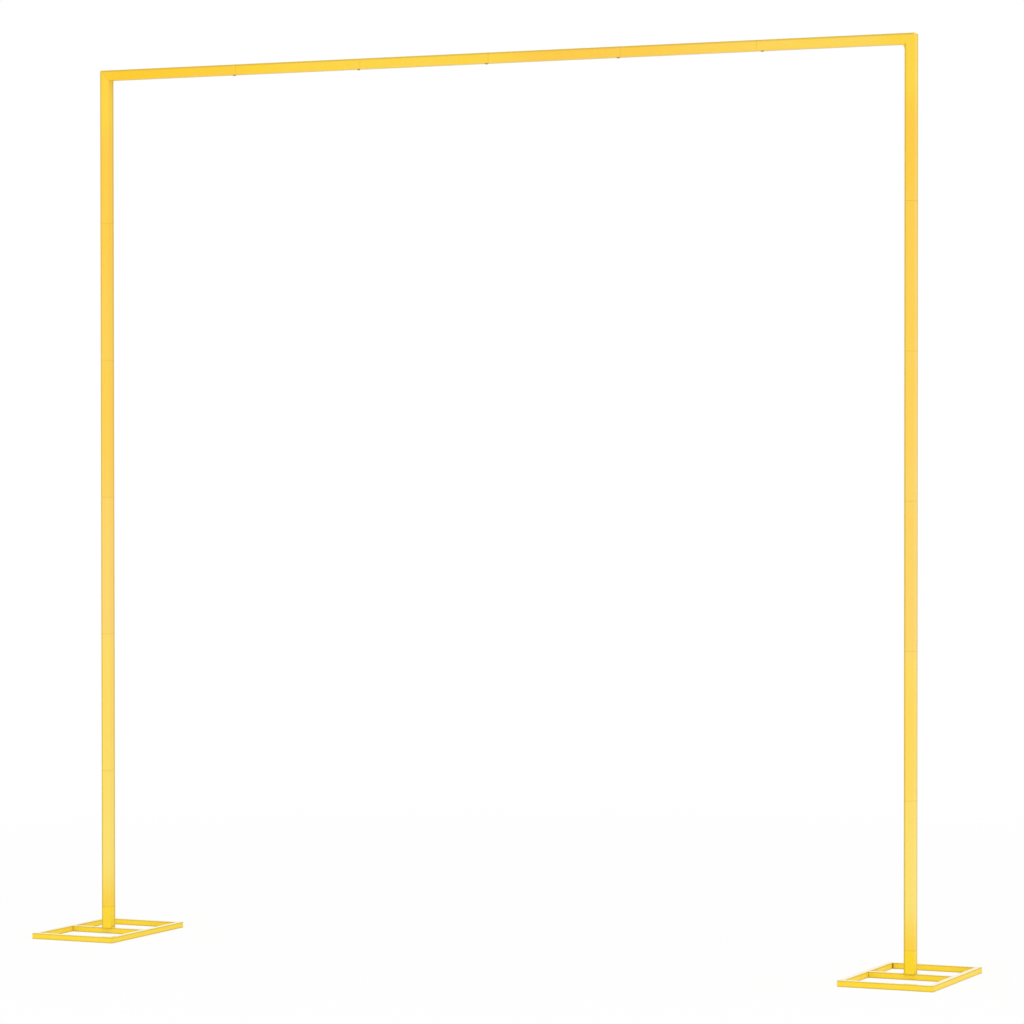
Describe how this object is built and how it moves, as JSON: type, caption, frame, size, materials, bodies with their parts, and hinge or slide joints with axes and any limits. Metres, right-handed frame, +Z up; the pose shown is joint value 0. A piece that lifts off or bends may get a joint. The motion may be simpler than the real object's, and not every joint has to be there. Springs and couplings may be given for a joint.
{
  "type": "square metal wedding arch frame",
  "caption": "Tall square wedding arch of golden yellow square steel tube, its posts and straight beam pushed together from sections and standing on flat rectangular base frames.",
  "frame": {"origin": "on the floor, midway between the two base frames, below the middle of the beam", "axes": "+X along the beam to the right, +Y to the rear, +Z up"},
  "size_m": [3.285, 0.5, 3.03],
  "materials": {
    "tube_paint": "satin",
    "base_paint": "satin",
    "screw_steel": "satin"
  },
  "bodies": {
    "root": {"left_base_front_bar": "base_paint", "left_base_rear_bar": "base_paint", "left_base_outer_bar": "base_paint", "left_base_inner_bar": "base_paint", "left_base_cross_bar": "base_paint", "left_base_socket": "base_paint", "left_post_section_1": "tube_paint", "left_post_section_2": "tube_paint", "left_post_section_3": "tube_paint", "left_post_section_4": "tube_paint", "left_post_section_5": "tube_paint", "left_corner_leg": "tube_paint", "left_corner_arm": "tube_paint", "left_post_screws": "screw_steel", "right_base_front_bar": "base_paint", "right_base_rear_bar": "base_paint", "right_base_outer_bar": "base_paint", "right_base_inner_bar": "base_paint", "right_base_cross_bar": "base_paint", "right_base_socket": "base_paint", "right_post_section_1": "tube_paint", "right_post_section_2": "tube_paint", "right_post_section_3": "tube_paint", "right_post_section_4": "tube_paint", "right_post_section_5": "tube_paint", "right_corner_leg": "tube_paint", "right_corner_arm": "tube_paint", "right_post_screws": "screw_steel", "beam_section_1": "tube_paint", "beam_section_2": "tube_paint", "beam_section_3": "tube_paint", "beam_section_4": "tube_paint", "beam_screws": "screw_steel"}
  },
  "joints": []
}
